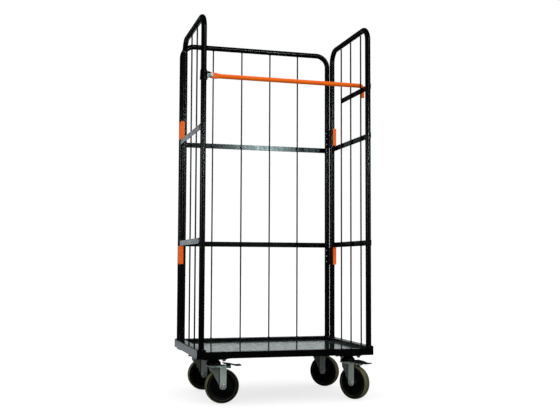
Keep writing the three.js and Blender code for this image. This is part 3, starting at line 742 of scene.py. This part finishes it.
def build_plate(tag, stem, top, crown):
    """Top plate with neck and bearing cup, and the kingpin under the fork's crown."""
    place = Matrix.Translation((stem.x, stem.y, 0))
    half_x, half_y = PLATE["half_x"], PLATE["half_y"]
    bm = bmesh.new()
    outline = rounded_outline(-half_x, half_x, -half_y, half_y, PLATE["corner"])
    prism(bm, outline, top - PLATE["thickness"], top, place)
    cup = crown + GAP
    neck = top - 0.0038  # just inside the plate, so that the two overlap
    profile = [
        (0, cup), (0.031, cup), (0.033, cup + 0.0015), (0.033, cup + 0.008), (0.0315, cup + 0.0125),
        (0.0275, cup + 0.0165), (0.025, cup + 0.0190), (0.0245, top - 0.006), (0.0275, neck), (0, neck),
    ]
    lathe(bm, profile, place, sides=48)
    node = f"caster_plate_{tag}"
    body = body_of(node)
    add_piece(f"castor_top_plate_{tag}", bm, body, "black_powder_coat", replaces=node, weighted=True)

    king = bmesh.new()
    under = crown - KINGPIN["under_crown"]
    head, head_face, shank = KINGPIN["head"], KINGPIN["head_face"], KINGPIN["shank"]
    profile = [
        (0, under - 0.005), (head_face, under - 0.005), (head, under - 0.002), (head, under),
        (shank, under), (shank, crown), (0, crown),
    ]
    lathe(king, profile, place, sides=28)
    add_piece(f"castor_kingpin_{tag}", king, body, "bright_steel")


def build_plate_bolts(tag, stem, top):
    """Four bolts down through the beam's support plate and the castor's, with washers and nuts below."""
    place = Matrix.Translation((stem.x, stem.y, 0))
    under = top - PLATE["thickness"]
    washer, shank = PLATE_BOLT["washer"], PLATE_BOLT["shank"]
    washer_foot = under - PLATE_BOLT["washer_thickness"]
    nut_foot = washer_foot - PLATE_BOLT["nut_height"]
    tail = nut_foot - PLATE_BOLT["tail"]
    chamfer = 0.0006
    head_foot = top + GAP + BEAM_PLATE
    washer_profile = [(0, washer_foot), (washer, washer_foot), (washer, under), (0, under)]
    shank_profile = [
        (0, tail), (shank - chamfer, tail), (shank, tail + chamfer), (shank, under), (0, under),
    ]
    bm = bmesh.new()
    for sx in (-1, 1):
        for sy in (-1, 1):
            at = place @ Matrix.Translation((sx * PLATE_BOLT["x"], sy * PLATE_BOLT["y"], 0))
            lathe(bm, washer_profile, at, sides=24)
            hex_head(bm, PLATE_BOLT["nut"], nut_foot, washer_foot, at)
            lathe(bm, shank_profile, at, sides=16)
            hex_head(bm, PLATE_BOLT["nut"], head_foot, head_foot + PLATE_BOLT["head_height"], at)
    body = body_of(f"caster_plate_{tag}")
    add_piece(f"castor_plate_bolts_{tag}", bm, body, "bright_steel", weighted=True)


def fork_edge(x, trail, axle):
    """Height of a fork leg's lower edge: raked in front, round at the axle."""
    tip = FORK["tip"]
    if x > trail - tip:
        return axle - math.sqrt(max(tip ** 2 - (x - trail) ** 2, 0.0))
    rake = (x - FORK["front"]) / (trail - tip - FORK["front"])
    return axle + FORK["rake"] * (1 - rake ** 1.1)


def build_fork(tag, swivel, trail, axle, crown):
    """Pressed fork: one bent sheet with round shoulders. Each leg's front flank is set in from its band;
    flank and step carry painted shade.
    """
    outer, sheet, shoulder = FORK["outer"], FORK["sheet"], FORK["shoulder"]
    top = crown - 0.001
    flank_end, band_start = FORK_STEP["flank_end"], FORK_STEP["band_start"]
    stations = [FORK["front"] + (flank_end - FORK["front"]) * k / 13 for k in range(14)]
    stations += [band_start, trail - FORK["tip"]]
    for k in range(1, 17):
        stations.append(trail - FORK["tip"] * math.cos(math.pi * k / 16))
    arc_steps, leg_steps, roof_steps = 5, 14, 6

    def row(x, inset):
        """One U-shaped line of points, from one leg's edge over the crown to the other leg's."""
        half = outer - inset
        roof = top - inset
        bend = shoulder - inset
        edge = min(fork_edge(x, trail, axle), roof - bend - 0.0005)
        points = []
        for k in range(leg_steps):
            z = edge + (roof - bend - edge) * k / leg_steps
            points.append(Vector((x, half, z)))
        for k in range(arc_steps + 1):
            angle = math.pi / 2 * k / arc_steps
            y = half - bend + bend * math.cos(angle)
            points.append(Vector((x, y, roof - bend + bend * math.sin(angle))))
        for k in range(1, roof_steps):
            points.append(Vector((x, (half - bend) * (1 - 2 * k / roof_steps), roof)))
        points += [Vector((p.x, -p.y, p.z)) for p in reversed(points[: leg_steps + arc_steps + 1])]
        step = 1 - min(max((x - flank_end) / (band_start - flank_end), 0.0), 1.0)
        for p in points:
            fade = min(max((roof - bend * 0.5 - p.z) / FORK_STEP["fade"], 0.0), 1.0)
            p.y -= math.copysign(FORK_STEP["depth"] * step * fade, p.y)
        return points

    # Finishes along the leg: 0 is the band, 1 the step, painted near-black as shade, and 2 the flank, zinc
    # painted darker as shade
    finish_at = []
    for x in stations:
        in_front = x < flank_end - 1e-6
        in_shaded_step = x < band_start - 1e-6
        finish_at.append(2 if in_front else 1 if in_shaded_step else 0)
    bm = bmesh.new()
    outside = [[bm.verts.new(swivel @ p) for p in row(x, 0.0)] for x in stations]
    inside = [[bm.verts.new(swivel @ p) for p in row(x, sheet)] for x in stations]
    count = len(outside[0])
    legs = (range(0, leg_steps), range(count - 1 - leg_steps, count - 1))
    for here, there, near, far, finish in zip(outside, outside[1:], inside, inside[1:], finish_at):
        for i in range(count - 1):
            skin_face = bm.faces.new((here[i], there[i], there[i + 1], here[i + 1]))
            skin_face.material_index = finish if i in legs[0] or i in legs[1] else 0
            bm.faces.new((near[i], near[i + 1], far[i + 1], far[i]))
        for i in (0, count - 1):
            bm.faces.new((here[i], near[i], far[i], there[i]))
    for first, second in ((outside[0], inside[0]), (outside[-1], inside[-1])):
        for i in range(count - 1):
            bm.faces.new((first[i], first[i + 1], second[i + 1], second[i]))
    rims = [e for e in bm.edges if len(e.link_faces) == 2 and e.calc_face_angle(0) > math.radians(50)]
    bmesh.ops.bevel(
        bm, geom=rims, offset=0.0006, segments=2, profile=0.5, affect="EDGES", clamp_overlap=True,
    )

    # Bearing seat pressed up round the kingpin
    bore = KINGPIN["bore"]
    seat = [
        (bore, top - 0.003), (0.036, top - 0.003), (0.036, top - 0.001), (0.034, crown), (bore, crown),
        (bore, top - 0.003),
    ]
    lathe(bm, seat, swivel, sides=44)
    node = f"caster_fork_{tag}"
    finishes = ("zinc_plate", "step_painted_shade", "darkened_zinc")
    add_piece(f"castor_fork_{tag}", bm, body_of(node), *finishes, replaces=node, weighted=True)


def build_axle(tag, swivel, trail, axle):
    """Hexagon bolt and nut with washers, along the fork's y axis."""
    shank, washer, hexagon_radius = AXLE["shank"], AXLE["washer"], AXLE["hexagon"]
    face = FORK["outer"] + GAP
    washer_end = face + AXLE["washer_end"]
    thread_end = face + AXLE["thread_end"]
    chamfer = 0.001
    place = swivel @ facing(Vector((trail, 0, axle)), Vector((0, 1, 0)))
    bm = bmesh.new()
    for near, far in ((face, washer_end), (-washer_end, -face)):
        lathe(bm, [(0, near), (washer, near), (washer, far), (0, far)], place, sides=32)
    hex_head(bm, hexagon_radius, -face - AXLE["head_end"], -washer_end, place)
    hex_head(bm, hexagon_radius, washer_end, face + AXLE["nut_end"], place)
    profile = [
        (0, -face), (shank, -face), (shank, thread_end - chamfer), (shank - chamfer, thread_end),
        (0, thread_end),
    ]
    lathe(bm, profile, place, sides=24)
    node = f"caster_axle_{tag}"
    add_piece(f"castor_axle_{tag}", bm, body_of(node), "bright_steel", replaces=node, weighted=True)


def build_wheel(tag, hub, turn):
    """Moulded core with a dished web and ribs, a solid tyre with a raised side ring, and dust caps."""
    across = Vector((-math.sin(turn), math.cos(turn), 0))
    place = facing(hub, across)
    body = body_of(f"wheel_core_{tag}")
    build_core(tag, place, body)
    build_tyre(tag, place, body, hub.z)
    build_dust_caps(tag, place, body)


def build_core(tag, place, body):
    """Hub, dished web with ribs on both faces, and rim."""
    hub_half = WHEEL["hub_half"]
    rib_half = WHEEL["rib_half"]
    side = [
        (0.0064, hub_half), (0.0150, hub_half), (0.0175, 0.0196), (0.0195, 0.0120), (0.0230, 0.0085),
        (0.0450, 0.0070), (0.0500, 0.0110), (0.0515, 0.0158), (0.0535, 0.0166), (WHEEL["rim"], 0.0166),
    ]
    profile = side + [(r, -z) for r, z in reversed(side)] + [side[0]]
    bm = bmesh.new()
    lathe(bm, profile, place, sides=56)
    rib = [(0.0200, -rib_half), (0.0505, -rib_half), (0.0505, rib_half), (0.0200, rib_half)]
    for i in range(WHEEL["ribs"]):
        spin = Matrix.Rotation(2 * math.pi * i / WHEEL["ribs"], 4, "Z")
        for sign in (-1, 1):
            low, high = sorted((sign * 0.006, sign * 0.0118))
            prism(bm, rib, low, high, place @ spin, rounding=0.0004, steps=1)
    add_piece(f"wheel_hub_{tag}", bm, body, "wheel_core", replaces=f"wheel_core_{tag}")


def build_tyre(tag, place, body, radius):
    """Its tread and a thin ring at the rim show olive rubber. The side between them is painted near-black
    as shade.
    """
    half = WHEEL["half"]
    inner = WHEEL["rim"] + GAP
    corner = TREAD["corner"]
    side = [
        (inner, half - 0.0008), (inner + 0.0008, half), (0.0655, half), (0.0662, half + 0.0003),
        (0.0676, half + 0.0003), (0.0684, half - 0.0004),
    ]
    for k in range(6):
        angle = math.radians(18 * k)
        reach = radius - TREAD["inset"] - corner + corner * math.sin(angle)
        side.append((reach, half - 0.0056 + corner * math.cos(angle)))
    side.append((radius - 0.0004, half - 0.0095))
    profile = side + [(radius, 0.0)] + [(r, -z) for r, z in reversed(side)] + [side[0]]
    # Faces between the tread and the rim ring get the second finish, painted shade.
    finishes = []
    for (r0, _), (r1, _) in zip(profile, profile[1:]):
        olive = min(r0, r1) > TREAD["start"] or max(r0, r1) < WHEEL["rim"] + 0.0012
        finishes.append(0 if olive else 1)
    bm = bmesh.new()
    lathe(bm, profile, place, sides=72, finishes=finishes)
    add_piece(f"wheel_tread_{tag}", bm, body, "tyre_rubber", "tyre_side_painted_shade", replaces=f"wheel_tyre_{tag}")


def build_dust_caps(tag, place, body):
    """Rings over the roller bearing at both ends of the hub."""
    inner, outer = 0.0075, 0.0120
    bm = bmesh.new()
    for sign in (-1, 1):
        near, far = sign * WHEEL["hub_half"], sign * WHEEL["cap_end"]
        ring = [(inner, near), (outer, near), (outer, far), (inner, far), (inner, near)]
        lathe(bm, ring, place, sides=32)
    add_piece(f"wheel_dust_caps_{tag}", bm, body, "zinc_plate")


def build_brake(tag):
    """Bracket behind the fork's crown and the pedal on its pin, both in the CAD's own shape."""
    refined(f"brake_bracket_{tag}", "zinc_plate")
    refined(f"brake_pedal_{tag}", "black_plastic", rounding=0.0012, steps=3)


for tag in CORNERS:
    build_castor(tag)


# ---------------------------------------------------------------- stage, light and camera
FLOOR = {"white": 0.30, "glow": 0.74, "in_gloss": 0.008, "size": 40.0}
STUDIO = {"light": 0.80, "low_gloss": (0.05, 0.053, 0.056), "high_gloss": (0.014, 0.015, 0.016)}
WHITE = (1.0, 1.0, 1.0)
SUN = {"direction": (0.35, 0.45, -1.0), "spread": math.radians(70), "strength": 0.95}
CAMERA = {"place": (-1.085, -3.906, 0.599), "yaw": 16.015, "pitch": 3.66, "roll": 0.204, "lens": 55.44}
# name, place, aimed at, size, watts and colour
LIGHTS = (
    ("left_strip", (-3.9, -3.0, 1.45), (0, 0, 1.2), (0.34, 1.0), 5.0, WHITE),
    ("left_strip_far", (-4.6, -1.6, 1.50), (0, 0, 1.2), (0.40, 1.0), 3.2, WHITE),
    ("left_spot", (-3.9, -3.1, 1.72), (0, 0, 1.2), (0.24, 0.30), 7.0, WHITE),
    ("right_strip", (3.4, -3.4, 1.55), (0, 0, 1.2), (0.20, 1.3), 5.5, WHITE),
    ("front_strip", (1.46, -4.6, 1.88), (0.0, 0.3, 1.2), (0.40, 0.30), 2.8, (0.62, 1.0, 1.0)),
    ("front_spot", (1.30, -4.5, 1.88), (0.0, 0.3, 1.2), (0.18, 0.22), 16, (0.78, 1.0, 1.0)),
    ("front_end_spot", (1.78, -4.5, 1.88), (0.0, 0.3, 1.2), (0.06, 0.20), 0.8, (0.72, 1.0, 1.0)),
    ("rear_left_high", (-1.85, 8.0, 2.42), (-0.4, 0, 1.2), (0.46, 0.60), 1.35, (0.88, 0.95, 1.0)),
    ("rear_left_low", (-1.85, 8.0, 0.95), (-0.4, 0, 0.7), (0.46, 0.60), 1.45, (0.85, 0.94, 1.0)),
    ("rear_left_floor", (-0.85, 2.1, 0.02), (-0.85, 2.1, 1.0), (1.0, 1.8), 3.2, (0.86, 0.94, 1.0)),
    ("rear_right_panel", (1.35, 5.2, 0.68), (0, 0, 0.4), (2.3, 0.64), 2.9, (0.90, 1.0, 0.98)),
    ("top_front_strip", (2.0, -4.4, 3.6), (0.2, 0, 1.5), (3.6, 0.40), 20, WHITE),
)


def choose_by_ray(tree, ray, otherwise, chosen):
    """A shader that is chosen for one kind of ray and otherwise for all the rest."""
    light_path = tree.nodes.new("ShaderNodeLightPath")
    mix = tree.nodes.new("ShaderNodeMixShader")
    tree.links.new(light_path.outputs[ray], mix.inputs["Fac"])
    tree.links.new(otherwise, mix.inputs[1])
    tree.links.new(chosen, mix.inputs[2])
    return mix.outputs["Shader"]


def build_stage():
    """Pale floor. The camera sees it glow, which keeps shadows faint, and gloss sees it nearly black."""
    bm = bmesh.new()
    bmesh.ops.create_grid(bm, x_segments=1, y_segments=1, size=FLOOR["size"])
    mesh = bpy.data.meshes.new("floor")
    bm.to_mesh(mesh)
    bm.free()
    paint = bpy.data.materials.new("studio_floor")
    paint.use_nodes = True
    tree = paint.node_tree
    nodes, links = tree.nodes, tree.links
    nodes.clear()
    pale = nodes.new("ShaderNodeBsdfDiffuse")
    pale.inputs["Color"].default_value = (FLOOR["white"], FLOOR["white"], FLOOR["white"], 1.0)
    glow = nodes.new("ShaderNodeEmission")
    glow.inputs["Strength"].default_value = FLOOR["glow"]
    lit = nodes.new("ShaderNodeAddShader")
    links.new(pale.outputs["BSDF"], lit.inputs[0])
    links.new(glow.outputs["Emission"], lit.inputs[1])
    mirrored = nodes.new("ShaderNodeEmission")
    mirrored.inputs["Color"].default_value = (FLOOR["in_gloss"], FLOOR["in_gloss"], FLOOR["in_gloss"], 1.0)
    unseen = choose_by_ray(tree, "Is Glossy Ray", pale.outputs["BSDF"], mirrored.outputs["Emission"])
    seen = choose_by_ray(tree, "Is Camera Ray", unseen, lit.outputs["Shader"])
    output = nodes.new("ShaderNodeOutputMaterial")
    links.new(seen, output.inputs["Surface"])
    mesh.materials.append(paint)
    floor = bpy.data.objects.new("floor", mesh)
    bpy.context.scene.collection.objects.link(floor)


def build_world():
    """White studio. Its light and backdrop are even white. Gloss sees dark grey, darker higher up."""
    world = bpy.data.worlds.new("studio")
    bpy.context.scene.world = world
    world.use_nodes = True
    tree = world.node_tree
    nodes, links = tree.nodes, tree.links
    nodes.clear()
    place = nodes.new("ShaderNodeTexCoord")
    split = nodes.new("ShaderNodeSeparateXYZ")
    links.new(place.outputs["Generated"], split.inputs["Vector"])
    ramp = nodes.new("ShaderNodeValToRGB")
    low, high = ramp.color_ramp.elements
    low.position = 0.10
    low.color = (*STUDIO["low_gloss"], 1.0)
    high.position = 0.25
    high.color = (*STUDIO["high_gloss"], 1.0)
    links.new(split.outputs["Z"], ramp.inputs["Fac"])
    reflected = nodes.new("ShaderNodeBackground")
    links.new(ramp.outputs["Color"], reflected.inputs["Color"])
    white = nodes.new("ShaderNodeBackground")
    white.inputs["Color"].default_value = (*WHITE, 1.0)
    white.inputs["Strength"].default_value = STUDIO["light"]
    backdrop = nodes.new("ShaderNodeBackground")
    backdrop.inputs["Color"].default_value = (*WHITE, 1.0)
    plain, dark = white.outputs["Background"], reflected.outputs["Background"]
    unseen = choose_by_ray(tree, "Is Glossy Ray", plain, dark)
    seen = choose_by_ray(tree, "Is Camera Ray", unseen, backdrop.outputs["Background"])
    output = nodes.new("ShaderNodeOutputWorld")
    links.new(seen, output.inputs["Surface"])


def add_light(name, place, target, size, watts, color):
    """A rectangular light that the camera doesn't see."""
    data = bpy.data.lights.new(name, "AREA")
    data.shape = "RECTANGLE"
    data.size, data.size_y = size
    data.energy = watts
    data.color = color
    light = bpy.data.objects.new(name, data)
    light.location = place
    light.rotation_euler = (Vector(target) - Vector(place)).to_track_quat("-Z", "Y").to_euler()
    light.visible_camera = False
    bpy.context.scene.collection.objects.link(light)


def add_sun():
    """Even light over the whole floor. It lights surfaces but isn't mirrored in them."""
    data = bpy.data.lights.new("soft_daylight", "SUN")
    data.angle = SUN["spread"]
    data.energy = SUN["strength"]
    sun = bpy.data.objects.new("soft_daylight", data)
    sun.rotation_euler = Vector(SUN["direction"]).to_track_quat("-Z", "Y").to_euler()
    sun.visible_glossy = False
    bpy.context.scene.collection.objects.link(sun)


def build_camera():
    """Low camera to the front left, looking slightly up."""
    place = Vector(CAMERA["place"])
    yaw, pitch, roll = (math.radians(CAMERA[turn]) for turn in ("yaw", "pitch", "roll"))
    forward = Vector((math.sin(yaw) * math.cos(pitch), math.cos(yaw) * math.cos(pitch), math.sin(pitch)))
    level = Vector((math.cos(yaw), -math.sin(yaw), 0))
    upward = level.cross(forward)
    right = level * math.cos(roll) + upward * math.sin(roll)
    top = upward * math.cos(roll) - level * math.sin(roll)
    data = bpy.data.cameras.new("camera")
    data.lens = CAMERA["lens"]
    data.sensor_width = 36.0
    data.sensor_fit = "HORIZONTAL"
    camera = bpy.data.objects.new("camera", data)
    axes = Matrix((right, top, -forward)).transposed().to_4x4()
    camera.matrix_world = Matrix.Translation(place) @ axes
    bpy.context.scene.collection.objects.link(camera)
    bpy.context.scene.camera = camera


build_stage()
build_world()
add_sun()
for light in LIGHTS:
    add_light(*light)
bpy.context.scene.view_settings.view_transform = "Standard"
build_camera()
